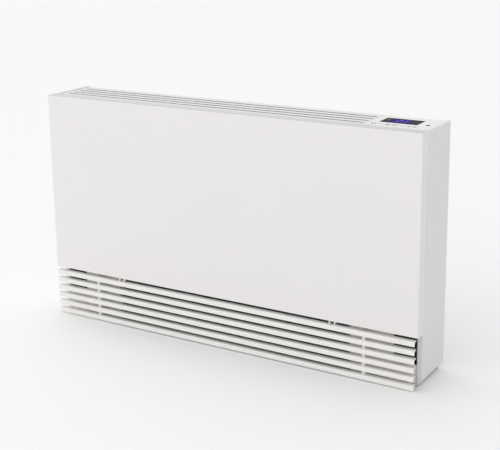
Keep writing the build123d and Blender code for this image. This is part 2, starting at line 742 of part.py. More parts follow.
gland = rod((gland_x, gland_y, box_bottom - gland_length + 8), (0, 0, 1), gland_radius, gland_length)
nut = Pos(gland_x, gland_y, box_bottom - 8) * extrude(RegularPolygon(gland_nut, 6), amount=8)
gland += nut
gland -= rod((gland_x, gland_y, 0), (0, 0, 1), gland_bore, height)
save("cable_gland", gland)

# ---------------------------------------------------------------- screws
save("casing_screws", *[screw(seat, (0, 1, 0)) for seat in cheek_seats + lid_seats])
save("motor_screws", *[screw(seat, (1, 0, 0), motor_wall + section_sheet) for seat in motor_seats])
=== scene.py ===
import json
import math
import bmesh
import bpy
from mathutils import Matrix, Vector


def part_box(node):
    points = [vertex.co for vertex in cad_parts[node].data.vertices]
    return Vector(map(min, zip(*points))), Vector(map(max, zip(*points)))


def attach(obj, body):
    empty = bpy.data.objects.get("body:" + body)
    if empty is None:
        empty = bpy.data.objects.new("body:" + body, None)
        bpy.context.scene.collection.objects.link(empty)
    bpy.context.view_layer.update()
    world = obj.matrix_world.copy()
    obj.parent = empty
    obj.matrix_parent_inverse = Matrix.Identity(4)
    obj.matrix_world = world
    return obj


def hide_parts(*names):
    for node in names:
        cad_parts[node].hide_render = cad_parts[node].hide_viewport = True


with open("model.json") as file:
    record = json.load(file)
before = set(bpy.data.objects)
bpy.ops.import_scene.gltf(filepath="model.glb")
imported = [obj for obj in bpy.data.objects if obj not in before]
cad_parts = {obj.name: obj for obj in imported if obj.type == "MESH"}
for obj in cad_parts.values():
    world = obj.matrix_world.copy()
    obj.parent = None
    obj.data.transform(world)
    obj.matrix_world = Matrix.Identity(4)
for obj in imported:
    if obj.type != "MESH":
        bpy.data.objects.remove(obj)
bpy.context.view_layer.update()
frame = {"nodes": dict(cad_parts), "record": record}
nodes = frame["nodes"]
mm = 0.001
print("frame loaded:", len(nodes), "nodes")

# camera: standing in front of the controls end, a little above the top
cameraValues = {
    "place": (1.3595, -2.1843, 1.0627),
    "pitch": 75.789,
    "roll": 0.919,
    "heading": 31.590,
    "lens": 80.2,
    "shiftX": 0.0264,
    "shiftY": -0.0972,
}

cameraData = bpy.data.cameras.new("camera")
cameraData.lens = cameraValues["lens"]
cameraData.sensor_width = 36.0
cameraData.shift_x = cameraValues["shiftX"]
cameraData.shift_y = cameraValues["shiftY"]
cameraData.clip_end = 40.0
camera = bpy.data.objects.new("camera", cameraData)
camera.location = cameraValues["place"]
camera.rotation_euler = [math.radians(cameraValues[k]) for k in ("pitch", "roll", "heading")]
bpy.context.scene.collection.objects.link(camera)
bpy.context.scene.camera = camera


# small helpers for node trees

def addNode(tree, kind, settings=None, **inputs):
    # a node with its settings and its unlinked inputs, named by socket
    node = tree.nodes.new(kind)
    for key, value in (settings or {}).items():
        setattr(node, key, value)
    for key, value in inputs.items():
        node.inputs[key.replace("_", " ")].default_value = value
    return node


def join(tree, source, target):
    tree.links.new(source, target)


def mathNode(tree, operation, first, second):
    node = addNode(tree, "ShaderNodeMath", {"operation": operation})
    for socket, value in zip(node.inputs, (first, second)):
        if isinstance(value, (int, float)):
            socket.default_value = value
        else:
            join(tree, value, socket)
    return node.outputs[0]


def newGroup(name, ins, outs, kind="ShaderNodeTree"):
    # a node group with named sockets, given as (name, socket kind, value)
    group = bpy.data.node_groups.new(name, kind)
    for label, socketKind, value in ins:
        socket = group.interface.new_socket(label, in_out="INPUT", socket_type=socketKind)
        if value is not None:
            socket.default_value = value
    for label, socketKind in outs:
        group.interface.new_socket(label, in_out="OUTPUT", socket_type=socketKind)
    return group, group.nodes.new("NodeGroupInput"), group.nodes.new("NodeGroupOutput")


floatSocket, vectorSocket = "NodeSocketFloat", "NodeSocketVector"


def makeMottleGroup():
    # slow drift of tone and a fine speckle, both around one half
    group, ins, outs = newGroup("mottle", [
        ("Vector", vectorSocket, None), ("Drift Scale", floatSocket, 4.0),
        ("Speckle Scale", floatSocket, 900.0)],
        [("Drift", floatSocket), ("Speckle", floatSocket)])
    for scaleName, outName, detail in (("Drift Scale", "Drift", 3.0), ("Speckle Scale", "Speckle", 2.0)):
        noise = addNode(group, "ShaderNodeTexNoise", Detail=detail, Roughness=0.55)
        join(group, ins.outputs["Vector"], noise.inputs["Vector"])
        join(group, ins.outputs[scaleName], noise.inputs["Scale"])
        join(group, noise.outputs["Fac"], outs.inputs[outName])
    return group


def makeEdgeGroup():
    # one where the surface turns sharply, broken up by noise
    group, ins, outs = newGroup("edgeWearAndHighlight", [
        ("Vector", vectorSocket, None), ("Radius", floatSocket, 0.0008), ("Amount", floatSocket, 1.0),
        ("Scale", floatSocket, 160.0)], [("Mask", floatSocket)])
    geometry = addNode(group, "ShaderNodeNewGeometry")
    bevel = addNode(group, "ShaderNodeBevel", {"samples": 4})
    join(group, ins.outputs["Radius"], bevel.inputs["Radius"])
    dot = addNode(group, "ShaderNodeVectorMath", {"operation": "DOT_PRODUCT"})
    join(group, geometry.outputs["Normal"], dot.inputs[0])
    join(group, bevel.outputs["Normal"], dot.inputs[1])
    turn = mathNode(group, "SUBTRACT", 1.0, dot.outputs["Value"])
    turn = mathNode(group, "MULTIPLY", turn, 6.0)
    noise = addNode(group, "ShaderNodeTexNoise", Detail=4.0)
    join(group, ins.outputs["Vector"], noise.inputs["Vector"])
    join(group, ins.outputs["Scale"], noise.inputs["Scale"])
    broken = mathNode(group, "MULTIPLY", turn, noise.outputs["Fac"])
    scaled = mathNode(group, "MULTIPLY", broken, ins.outputs["Amount"])
    clamp = addNode(group, "ShaderNodeClamp")
    join(group, scaled, clamp.inputs["Value"])
    join(group, clamp.outputs["Result"], outs.inputs["Mask"])
    return group


def makeDustGroup():
    # dust that settles on faces that look up
    group, ins, outs = newGroup("settledDust", [
        ("Vector", vectorSocket, None), ("Scale", floatSocket, 30.0), ("Amount", floatSocket, 0.3)],
        [("Mask", floatSocket)])
    geometry = addNode(group, "ShaderNodeNewGeometry")
    parts = addNode(group, "ShaderNodeSeparateXYZ")
    join(group, geometry.outputs["Normal"], parts.inputs[0])
    noise = addNode(group, "ShaderNodeTexNoise", Detail=6.0, Roughness=0.65)
    join(group, ins.outputs["Vector"], noise.inputs["Vector"])
    join(group, ins.outputs["Scale"], noise.inputs["Scale"])
    facing = addNode(group, "ShaderNodeClamp")
    join(group, parts.outputs["Z"], facing.inputs["Value"])
    patchy = mathNode(group, "MULTIPLY", facing.outputs["Result"], noise.outputs["Fac"])
    join(group, mathNode(group, "MULTIPLY", patchy, ins.outputs["Amount"]), outs.inputs["Mask"])
    return group


def makeUpGroup():
    # a mask for faces that look straight up, blotched a little, on which a tone for how light falls on them is
    # painted
    group, ins, outs = newGroup("facingUp", [("Vector", vectorSocket, None), ("Scale", floatSocket, 14.0)],
                                [("Mask", floatSocket)])
    geometry = addNode(group, "ShaderNodeNewGeometry")
    parts = addNode(group, "ShaderNodeSeparateXYZ")
    join(group, geometry.outputs["Normal"], parts.inputs[0])
    facing = addNode(group, "ShaderNodeMapRange", From_Min=0.5, From_Max=0.9)
    join(group, parts.outputs["Z"], facing.inputs["Value"])
    noise = addNode(group, "ShaderNodeTexNoise", Detail=2.0)
    join(group, ins.outputs["Vector"], noise.inputs["Vector"])
    join(group, ins.outputs["Scale"], noise.inputs["Scale"])
    blotch = addNode(group, "ShaderNodeMapRange", To_Min=0.85, To_Max=1.0)
    join(group, noise.outputs["Fac"], blotch.inputs["Value"])
    join(group, mathNode(group, "MULTIPLY", facing.outputs["Result"], blotch.outputs["Result"]),
         outs.inputs["Mask"])
    return group


def makeBrushedGroup():
    # drawn lines along X, for cut and rolled metal
    group, ins, outs = newGroup("brushed", [
        ("Vector", vectorSocket, None), ("Scale", floatSocket, 700.0), ("Stretch", floatSocket, 0.02)],
        [("Lines", floatSocket)])
    parts = addNode(group, "ShaderNodeSeparateXYZ")
    join(group, ins.outputs["Vector"], parts.inputs[0])
    whole = addNode(group, "ShaderNodeCombineXYZ")
    join(group, mathNode(group, "MULTIPLY", parts.outputs["X"], ins.outputs["Stretch"]), whole.inputs["X"])
    join(group, parts.outputs["Y"], whole.inputs["Y"])
    join(group, parts.outputs["Z"], whole.inputs["Z"])
    noise = addNode(group, "ShaderNodeTexNoise", Detail=3.0)
    join(group, whole.outputs[0], noise.inputs["Vector"])
    join(group, ins.outputs["Scale"], noise.inputs["Scale"])
    join(group, noise.outputs["Fac"], outs.inputs["Lines"])
    return group


def makeSpangleGroup():
    # crystals of a zinc coat
    group, ins, outs = newGroup("spangle", [
        ("Vector", vectorSocket, None), ("Scale", floatSocket, 90.0)],
        [("Crystal", floatSocket)])
    cells = addNode(group, "ShaderNodeTexVoronoi")
    join(group, ins.outputs["Vector"], cells.inputs["Vector"])
    join(group, ins.outputs["Scale"], cells.inputs["Scale"])
    parts = addNode(group, "ShaderNodeSeparateColor")
    join(group, cells.outputs["Color"], parts.inputs[0])
    join(group, parts.outputs[0], outs.inputs["Crystal"])
    return group


effects = {"mottle": makeMottleGroup(), "edgeWearAndHighlight": makeEdgeGroup(), "settledDust": makeDustGroup(),
           "facingUp": makeUpGroup(), "brushed": makeBrushedGroup(), "spangle": makeSpangleGroup()}
print("shader groups built:", len(effects))


def placeEffect(tree, name, coords, **values):
    node = tree.nodes.new("ShaderNodeGroup")
    node.node_tree = effects[name]
    join(tree, coords, node.inputs["Vector"])
    for key, value in values.items():
        node.inputs[key.replace("_", " ")].default_value = value
    return node


def mixColour(tree, mask, first, second):
    # first where the mask is 0, second where it is 1
    node = addNode(tree, "ShaderNodeMix", {"data_type": "RGBA"})
    join(tree, mask, node.inputs["Factor"])
    for socket, value in ((node.inputs[6], first), (node.inputs[7], second)):
        if isinstance(value, tuple):
            socket.default_value = (*value, 1.0)
        else:
            join(tree, value, socket)
    return node.outputs[2]


def remap(tree, value, low, high):
    node = addNode(tree, "ShaderNodeMapRange", To_Min=low, To_Max=high)
    join(tree, value, node.inputs["Value"])
    return node.outputs["Result"]


def shaded(colour, factor):
    return tuple(min(1.0, part * factor) for part in colour)


def finish(name, colour, rough, *, metal=0.0, coat=0.0, drift=0.03, driftScale=4.0, speckleScale=900.0,
           grain=0.02, grainDepth=0.0002, wearAndHighlightAmount=0.0, wearAndHighlightColour=(0.9, 0.9, 0.88), wearAndHighlightRadius=0.0008, dust=0.0,
           brushed=0.0, spangle=0.0, sheen=0.0, paintedUpTone=None, specular=0.5):
    # one material of the heater: tone drift, grain, dust, edges that are partly worn and partly given a painted
    # highlight, and a tone painted on faces that look up for how light falls on them
    material = bpy.data.materials.new(name)
    material.use_nodes = True
    tree = material.node_tree
    shader = tree.nodes["Principled BSDF"]
    shader.inputs["Metallic"].default_value = metal
    shader.inputs["Coat Weight"].default_value = coat
    shader.inputs["Coat Roughness"].default_value = 0.12
    shader.inputs["Sheen Weight"].default_value = sheen
    shader.inputs["Specular IOR Level"].default_value = specular
    coords = addNode(tree, "ShaderNodeTexCoord").outputs["Object"]
    mottle = placeEffect(tree, "mottle", coords, Drift_Scale=driftScale, Speckle_Scale=speckleScale)
    tone = mixColour(tree, remap(tree, mottle.outputs["Drift"], 0.0, 1.0),
                     shaded(colour, 1 - drift), shaded(colour, 1 + drift))
    # faces that look up take a second tone: painted light and shade for how light falls on the top, not a second
    # paint
    if paintedUpTone:
        up = placeEffect(tree, "facingUp", coords).outputs["Mask"]
        tone = mixColour(tree, up, tone, paintedUpTone)
    height = mottle.outputs["Speckle"]
    roughness = remap(tree, mottle.outputs["Speckle"], rough - grain, rough + grain)
    if brushed:
        lines = placeEffect(tree, "brushed", coords).outputs["Lines"]
        tone = mixColour(tree, remap(tree, lines, 0.0, brushed), tone, shaded(colour, 0.7))
        height = mathNode(tree, "ADD", height, lines)
    if spangle:
        zinc = placeEffect(tree, "spangle", coords)
        tone = mixColour(tree, remap(tree, zinc.outputs["Crystal"], 0.0, spangle), tone, shaded(colour, 0.72))
        roughness = mathNode(tree, "ADD", roughness, remap(tree, zinc.outputs["Crystal"], -0.08, 0.08))
    if dust:
        fall = placeEffect(tree, "settledDust", coords, Amount=dust).outputs["Mask"]
        tone = mixColour(tree, fall, tone, (0.62, 0.60, 0.56))
        roughness = mathNode(tree, "ADD", roughness, mathNode(tree, "MULTIPLY", fall, 0.4))
    # edges take a second colour: on the white pieces it is lighter than the paint, a painted highlight along the
    # edges; on the dark pieces it is wear
    if wearAndHighlightAmount:
        wornAndHighlighted = placeEffect(tree, "edgeWearAndHighlight", coords, Amount=wearAndHighlightAmount, Radius=wearAndHighlightRadius).outputs["Mask"]
        tone = mixColour(tree, wornAndHighlighted, tone, wearAndHighlightColour)
    join(tree, tone, shader.inputs["Base Color"])
    join(tree, roughness, shader.inputs["Roughness"])
    bump = addNode(tree, "ShaderNodeBump", Strength=0.35, Distance=grainDepth)
    join(tree, height, bump.inputs["Height"])
    join(tree, bump.outputs["Normal"], shader.inputs["Normal"])
    return material


def glow(name, colour, strength):
    # a lit segment behind dark glass, a little uneven across
    material = finish(name, shaded(colour, 0.08), 0.4, specular=0.003)
    tree = material.node_tree
    shader = tree.nodes["Principled BSDF"]
    coords = addNode(tree, "ShaderNodeTexCoord").outputs["Object"]
    mottle = placeEffect(tree, "mottle", coords, Drift_Scale=120.0)
    join(tree, mixColour(tree, mottle.outputs["Drift"], shaded(colour, 0.8), colour),
         shader.inputs["Emission Color"])
    shader.inputs["Emission Strength"].default_value = strength
    return material


white = (0.82, 0.80, 0.795)
whiteBlade = (0.84, 0.83, 0.81)
finishes = {
    # the enamel's faces that look up are painted darker: painted shade on the cover's top return, the paint
    # itself being one colour
    "enamel": finish("enamel", white, 0.42, coat=0.08, drift=0.012, speckleScale=1400.0, grainDepth=0.00004,
                     wearAndHighlightAmount=0.12, paintedUpTone=(0.55, 0.54, 0.535)),
    "cheekPlastic": finish("cheekPlastic", (0.79, 0.775, 0.77), 0.5, drift=0.012, speckleScale=1600.0,
                           grainDepth=0.00005, wearAndHighlightAmount=0.1),
    # the grille plastic is darkened all over as painted shade for the walls of its slots; only faces that look
    # up keep the grille's own white
    "grillePlastic": finish("grillePlastic", (0.48, 0.47, 0.465), 0.45, drift=0.012, speckleScale=1600.0,
                            grainDepth=0.00005, dust=0.06, paintedUpTone=(0.78, 0.77, 0.765)),
    "blade": finish("blade", whiteBlade, 0.38, drift=0.012, speckleScale=1200.0, grainDepth=0.00004, dust=0.04,
                    wearAndHighlightAmount=0.1),
    "glossPlastic": finish("glossPlastic", (0.70, 0.69, 0.685), 0.25, coat=0.1, drift=0.008,
                           grainDepth=0.00001),
    "bracketPlastic": finish("bracketPlastic", (0.80, 0.77, 0.67), 0.6, drift=0.05, dust=0.15),
    "zinc": finish("zinc", (0.40, 0.415, 0.42), 0.45, metal=0.75, spangle=0.18, dust=0.12, wearAndHighlightAmount=0.3),
    "foil": finish("foil", (0.74, 0.75, 0.76), 0.3, metal=1.0, brushed=0.4, dust=0.1),
    "rotor": finish("rotor", (0.62, 0.63, 0.64), 0.36, metal=1.0, brushed=0.4, dust=0.12),
    "copper": finish("copper", (0.70, 0.36, 0.22), 0.3, metal=1.0, drift=0.18, driftScale=25.0, brushed=0.3),
    "brass": finish("brass", (0.72, 0.55, 0.26), 0.28, metal=1.0, drift=0.1, driftScale=30.0, brushed=0.4),
    "bronze": finish("bronze", (0.50, 0.34, 0.17), 0.5, metal=0.9, drift=0.12, driftScale=60.0),
    "steel": finish("steel", (0.62, 0.62, 0.63), 0.2, metal=1.0, brushed=0.5),
    "motorPaint": finish("motorPaint", (0.06, 0.065, 0.07), 0.5, wearAndHighlightAmount=0.5, wearAndHighlightColour=(0.35, 0.35, 0.36),
                         dust=0.2),
    "iron": finish("iron", (0.15, 0.14, 0.13), 0.6, metal=0.7, brushed=0.6),
    "blackPlastic": finish("blackPlastic", (0.02, 0.02, 0.022), 0.5, dust=0.2, wearAndHighlightAmount=0.2,
                           wearAndHighlightColour=(0.1, 0.1, 0.1)),
    "greyPlastic": finish("greyPlastic", (0.30, 0.31, 0.32), 0.5, drift=0.05, dust=0.2, wearAndHighlightAmount=0.2),
    "trayPlastic": finish("trayPlastic", (0.45, 0.46, 0.47), 0.5, drift=0.05, dust=0.2),
    "net": finish("net", (0.03, 0.033, 0.036), 0.8, drift=0.2, driftScale=80.0, dust=0.3),
    "foam": finish("foam", (0.10, 0.10, 0.10), 0.95, drift=0.2, driftScale=200.0, speckleScale=500.0,
                   grainDepth=0.0012, sheen=0.3),
    "darkGlass": finish("darkGlass", (0.006, 0.006, 0.009), 0.12, drift=0.3, grain=0.01, grainDepth=0.000002,
                        specular=0.003),
    "board": finish("board", (0.02, 0.13, 0.06), 0.35, coat=0.2, drift=0.1, driftScale=60.0),
    "component": finish("component", (0.03, 0.03, 0.033), 0.3, drift=0.1),
    "terminal": finish("terminal", (0.04, 0.28, 0.12), 0.45, drift=0.06),
    "nylon": finish("nylon", (0.72, 0.71, 0.67), 0.5, drift=0.04),
    "screwZinc": finish("screwZinc", (0.66, 0.67, 0.68), 0.3, metal=1.0, brushed=0.4, wearAndHighlightAmount=0.3),
    "inkGrey": finish("inkGrey", (0.02, 0.02, 0.023), 0.6, drift=0.1, specular=0.05),
    "inkOrange": finish("inkOrange", (0.75, 0.24, 0.03), 0.4, drift=0.05),
    "litBlue": glow("litBlue", (0.24, 0.21, 1.0), 1.0),
    "litYellow": glow("litYellow", (1.0, 0.62, 0.12), 0.5),
    "litHaze": glow("litHaze", (0.16, 0.12, 0.90), 0.15),
    "litViolet": glow("litViolet", (0.34, 0.22, 0.9), 0.35),
}

finishOfSlot = {
    "white_enamel": "enamel", "white_plastic": "cheekPlastic", "white_blade": "blade",
    "panel_plastic": "glossPlastic", "galvanised": "zinc", "bracket_plastic": "bracketPlastic",
    "fin_aluminium": "foil", "rotor_aluminium": "rotor", "copper": "copper", "brass": "brass",
    "shaft_steel": "steel", "motor_metal": "motorPaint", "motor_iron": "iron", "dark_plastic": "blackPlastic",
    "grey_plastic": "greyPlastic", "tray_plastic": "trayPlastic", "filter_net": "net", "liner_foam": "foam",
    "dark_glass": "darkGlass", "board_green": "board", "component_plastic": "component",
    "terminal_green": "terminal", "nylon": "nylon", "bronze": "bronze", "screw_zinc": "screwZinc",
}
# the outlet grille takes the darkened copy of its white plastic, painted shade in its slots
finishOfNode = {"outlet_grille": "grillePlastic"}
slotOfNode = {part["node"]: part["material_slot"] for part in frame["record"]["subparts"]}
for nodeName, piece in nodes.items():
    chosen = finishOfNode.get(nodeName, finishOfSlot[slotOfNode[nodeName]])
    piece.data.materials.clear()
    piece.data.materials.append(finishes[chosen])
print("finishes built:", len(finishes))


# pieces that keep the CAD shape but get softened edges

softEdges = {
    "front_cover": 0.25, "right_cheek": 0.3, "left_cheek": 0.3, "outlet_grille": 0.35, "control_panel": 0.4,
    "intake_rib_right": 0.4, "intake_rib_left": 0.4, "grille_bracket_right": 0.3, "grille_bracket_left": 0.3,
    "filter_frame": 0.6, "filter_guides": 0.3, "drip_tray": 0.4, "electrical_box": 0.5, "electrical_lid": 0.4,
    "display_module": 0.3, "terminal_block": 0.3, "cable_gland": 0.3, "board_components": 0.4,
}
bodyOfNode = {name: body for body, names in frame["record"]["behaviour"]["bodies"].items() for name in names}


def rideAs(piece, body, slotName, *replaced):
    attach(piece, body)
    if replaced:
        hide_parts(*replaced)
    return piece


def meshObject(name, mesh, material=None):
    piece = bpy.data.objects.new(name, mesh)
    bpy.context.scene.collection.objects.link(piece)
    if material is not None:
        mesh.materials.clear()
        mesh.materials.append(material)
    return piece


def mergedCopy(nodeName):
    # the CAD mesh as one connected surface with its flat faces whole
    mesh = nodes[nodeName].data.copy()
    work = bmesh.new()
    work.from_mesh(mesh)
    bmesh.ops.remove_doubles(work, verts=work.verts, dist=0.00001)
    bmesh.ops.dissolve_limit(work, angle_limit=math.radians(0.5), verts=work.verts, edges=work.edges)
    work.to_mesh(mesh)
    work.free()
    return mesh


for nodeName, radius in softEdges.items():
    softMesh = mergedCopy(nodeName)
    soft = meshObject(nodeName + "_soft", softMesh)
    bevel = soft.modifiers.new("edges", "BEVEL")
    bevel.width = radius * mm
    bevel.segments = 2
    bevel.limit_method = "ANGLE"
    bevel.angle_limit = math.radians(35)
    bevel.use_clamp_overlap = True
    softMesh.shade_smooth()
    softMesh.set_sharp_from_angle(angle=math.radians(32))
    rideAs(soft, bodyOfNode[nodeName], slotOfNode[nodeName], nodeName)
print("edges softened:", len(softEdges))


# Geometry Nodes helpers

def geometryTree(name, sizes):
    # a tree with named size inputs, a Material input and one geometry output
    ins = [(label, "NodeSocketInt" if isinstance(value, int) else floatSocket, value)
           for label, value in sizes]
    tree, groupIn, groupOut = newGroup(name, ins + [("Material", "NodeSocketMaterial", None)],
                                       [("Geometry", "NodeSocketGeometry")], "GeometryNodeTree")
    return tree, groupIn, groupOut


def endTree(tree, groupIn, groupOut, geometry):
    realize = tree.nodes.new("GeometryNodeRealizeInstances")
    paint = tree.nodes.new("GeometryNodeSetMaterial")
    join(tree, geometry, realize.inputs[0])
    join(tree, realize.outputs[0], paint.inputs["Geometry"])
    join(tree, groupIn.outputs["Material"], paint.inputs["Material"])
    join(tree, paint.outputs[0], groupOut.inputs["Geometry"])


def grow(name, tree, values, material):
    # runs a tree with these values and keeps the result as a plain mesh
    carrier = meshObject(name + "_carrier", bpy.data.meshes.new(name + "_carrier"))
    modifier = carrier.modifiers.new("grow", "NODES")
    modifier.node_group = tree
    for item in tree.interface.items_tree:
        if item.in_out == "INPUT" and item.name in values:
            modifier[item.identifier] = values[item.name]
        if item.in_out == "INPUT" and item.name == "Material":
            modifier[item.identifier] = material
    bpy.context.view_layer.update()
    graph = bpy.context.evaluated_depsgraph_get()
    mesh = bpy.data.meshes.new_from_object(carrier.evaluated_get(graph))
    mesh.name = name
    bpy.data.objects.remove(carrier)
    return meshObject(name, mesh, material)


def vectorOf(tree, x=0.0, y=0.0, z=0.0):
    node = addNode(tree, "ShaderNodeCombineXYZ")
    for socket, value in zip(node.inputs, (x, y, z)):
        if isinstance(value, (int, float)):
            socket.default_value = value
        else:
            join(tree, value, socket)
    return node.outputs[0]


def boxRow(tree, size, count, start, step):
    # a row of equal boxes
    line = addNode(tree, "GeometryNodeMeshLine")
    join(tree, count, line.inputs["Count"])
    join(tree, start, line.inputs["Start Location"])
    join(tree, step, line.inputs["Offset"])
    cube = addNode(tree, "GeometryNodeMeshCube")
    join(tree, size, cube.inputs["Size"])
    spread = addNode(tree, "GeometryNodeInstanceOnPoints")
    join(tree, line.outputs[0], spread.inputs["Points"])
    join(tree, cube.outputs["Mesh"], spread.inputs["Instance"])
    return spread.outputs["Instances"]


# fin block

finValues = {"pitch": 2.0, "foil": 0.25, "thickness": 28.0, "tilt": 14.0}


def makeFinTree():
    tree, groupIn, groupOut = geometryTree("finTree", [
        ("Count", 10), ("Pitch", 0.002), ("Foil", 0.0002), ("Depth", 0.028), ("Height", 0.2), ("Tilt", 0.0),
        ("Start", 0.0), ("Middle Y", 0.0), ("Middle Z", 0.0)])
    get = groupIn.outputs
    row = boxRow(tree, vectorOf(tree, get["Foil"], get["Depth"], get["Height"]), get["Count"],
                 vectorOf(tree, get["Start"]), vectorOf(tree, get["Pitch"]))
    turn = addNode(tree, "GeometryNodeTransform")
    join(tree, row, turn.inputs["Geometry"])
    join(tree, vectorOf(tree, get["Tilt"]), turn.inputs["Rotation"])
    join(tree, vectorOf(tree, 0.0, get["Middle Y"], get["Middle Z"]), turn.inputs["Translation"])
    endTree(tree, groupIn, groupOut, turn.outputs[0])
    return tree


finLow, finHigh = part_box("coil_fins")
finTilt = math.radians(finValues["tilt"])
finDepth = finValues["thickness"] * mm
finHeight = (finHigh.z - finLow.z - finDepth * math.sin(finTilt)) / math.cos(finTilt)
finPitch = finValues["pitch"] * mm
finCount = int((finHigh.x - finLow.x) / finPitch)
fins = grow("coilFins", makeFinTree(), {
    "Count": finCount, "Pitch": finPitch, "Foil": finValues["foil"] * mm, "Depth": finDepth, "Height": finHeight,
    "Tilt": finTilt, "Start": finLow.x + finPitch / 2, "Middle Y": (finLow.y + finHigh.y) / 2,
    "Middle Z": (finLow.z + finHigh.z) / 2}, finishes["foil"])
rideAs(fins, "chassis", "fin_aluminium", "coil_fins")
print("fins:", finCount)


# filter net

netValues = {"pitch": 1.2, "strand": 0.5}


def makeNetTree():
    tree, groupIn, groupOut = geometryTree("netTree", [
        ("Width", 0.6), ("Height", 0.1), ("Columns", 10), ("Rows", 10), ("Pitch X", 0.003), ("Pitch Z", 0.003),
        ("Strand", 0.0005), ("Left", 0.0), ("Bottom", 0.0), ("Y", 0.0)])
    get = groupIn.outputs
    half = lambda name: mathNode(tree, "MULTIPLY", get[name], 0.5)
    midX = mathNode(tree, "ADD", get["Left"], half("Width"))
    midZ = mathNode(tree, "ADD", get["Bottom"], half("Height"))
    upright = boxRow(tree, vectorOf(tree, get["Strand"], get["Strand"], get["Height"]), get["Columns"],
                     vectorOf(tree, get["Left"], get["Y"], midZ), vectorOf(tree, get["Pitch X"]))
    level = boxRow(tree, vectorOf(tree, get["Width"], get["Strand"], get["Strand"]), get["Rows"],
                   vectorOf(tree, midX, get["Y"], get["Bottom"]), vectorOf(tree, 0.0, 0.0, get["Pitch Z"]))
    both = tree.nodes.new("GeometryNodeJoinGeometry")
    join(tree, upright, both.inputs[0])
    join(tree, level, both.inputs[0])
    endTree(tree, groupIn, groupOut, both.outputs[0])
    return tree


netLow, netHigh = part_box("filter_mesh")
strand = netValues["strand"] * mm
netPitch = netValues["pitch"] * mm
netColumns = int((netHigh.x - netLow.x - strand) / netPitch) + 1
netRows = int((netHigh.z - netLow.z - strand) / netPitch) + 1
net = grow("filterNet", makeNetTree(), {
    "Width": netHigh.x - netLow.x - strand, "Height": netHigh.z - netLow.z - strand, "Columns": netColumns,
    "Rows": netRows, "Pitch X": netPitch, "Pitch Z": netPitch, "Strand": strand, "Left": netLow.x + strand / 2,
    "Bottom": netLow.z + strand / 2, "Y": (netLow.y + netHigh.y) / 2}, finishes["net"])
rideAs(net, "filter", "filter_net", "filter_mesh")
print("filter net:", netColumns, "by", netRows)


# louvre blades: a face and a top folded over a round corner, drawn out along X

bladeValues = {"face": 11.0, "lean": 1.0, "reach": 11.5, "topRise": 1.0, "corner": 3.0, "wall": 1.8,
               "cornerSteps": 6}


def makeBladeTree():
    tree, groupIn, groupOut = geometryTree("bladeTree", [
        ("Count", 6), ("Pitch", 0.02), ("Face", 0.011), ("Lean", 0.001), ("Reach", 0.0115), ("Top Rise", 0.001),
        ("Corner", 0.003), ("Wall", 0.0018), ("Corner Steps", 6), ("Length", 1.0), ("Left", 0.0),
        ("Front", 0.0), ("Bottom", 0.0)])
    get = groupIn.outputs
    index = tree.nodes.new("GeometryNodeInputIndex").outputs[0]

    def only(number, value):
        # value at one corner of the outline, nothing at the others
        return mathNode(tree, "MULTIPLY", mathNode(tree, "COMPARE", index, float(number)), value)

    def total(values):
        result = values[0]
        for value in values[1:]:
            result = mathNode(tree, "ADD", result, value)
        return result

    top = mathNode(tree, "ADD", get["Face"], get["Top Rise"])
    innerLean = mathNode(tree, "ADD", get["Lean"], get["Wall"])
    across = [get["Lean"], get["Reach"], get["Reach"], innerLean, get["Wall"]]
    up = [get["Face"], top, mathNode(tree, "SUBTRACT", top, get["Wall"]),
          mathNode(tree, "SUBTRACT", get["Face"], get["Wall"])]
    ring = addNode(tree, "GeometryNodeCurvePrimitiveCircle", Resolution=6)
    shaped = tree.nodes.new("GeometryNodeSetPosition")
    join(tree, ring.outputs["Curve"], shaped.inputs["Geometry"])
    join(tree, vectorOf(tree, total([only(place + 1, value) for place, value in enumerate(across)]),
                        total([only(place + 1, value) for place, value in enumerate(up)])),
         shaped.inputs["Position"])
    rounded = addNode(tree, "GeometryNodeFilletCurve", {"mode": "POLY"})
    inner = mathNode(tree, "SUBTRACT", get["Corner"], get["Wall"])
    join(tree, shaped.outputs[0], rounded.inputs["Curve"])
    join(tree, get["Corner Steps"], rounded.inputs["Count"])
    join(tree, total([only(1, get["Corner"]), only(4, inner)]), rounded.inputs["Radius"])
    filled = addNode(tree, "GeometryNodeFillCurve", {"mode": "NGONS"})
    join(tree, rounded.outputs[0], filled.inputs["Curve"])
    stand = addNode(tree, "GeometryNodeTransform")
    stand.inputs["Rotation"].default_value = (math.pi / 2, 0.0, math.pi / 2)
    join(tree, filled.outputs[0], stand.inputs["Geometry"])
    drawn = addNode(tree, "GeometryNodeExtrudeMesh", {"mode": "FACES"})
    drawn.inputs["Individual"].default_value = False
    join(tree, stand.outputs[0], drawn.inputs["Mesh"])
    join(tree, vectorOf(tree, 1.0), drawn.inputs["Offset"])
    join(tree, get["Length"], drawn.inputs["Offset Scale"])
    cap = tree.nodes.new("GeometryNodeFlipFaces")
    join(tree, stand.outputs[0], cap.inputs[0])
    closed = tree.nodes.new("GeometryNodeJoinGeometry")
    join(tree, drawn.outputs[0], closed.inputs[0])
    join(tree, cap.outputs[0], closed.inputs[0])
    welded = tree.nodes.new("GeometryNodeMergeByDistance")
    join(tree, closed.outputs[0], welded.inputs["Geometry"])
    line = addNode(tree, "GeometryNodeMeshLine")
    join(tree, get["Count"], line.inputs["Count"])
    join(tree, vectorOf(tree, get["Left"], get["Front"], get["Bottom"]), line.inputs["Start Location"])
    join(tree, vectorOf(tree, 0.0, 0.0, get["Pitch"]), line.inputs["Offset"])
    spread = addNode(tree, "GeometryNodeInstanceOnPoints")
    join(tree, line.outputs[0], spread.inputs["Points"])
    join(tree, welded.outputs[0], spread.inputs["Instance"])
    endTree(tree, groupIn, groupOut, spread.outputs["Instances"])
    return tree


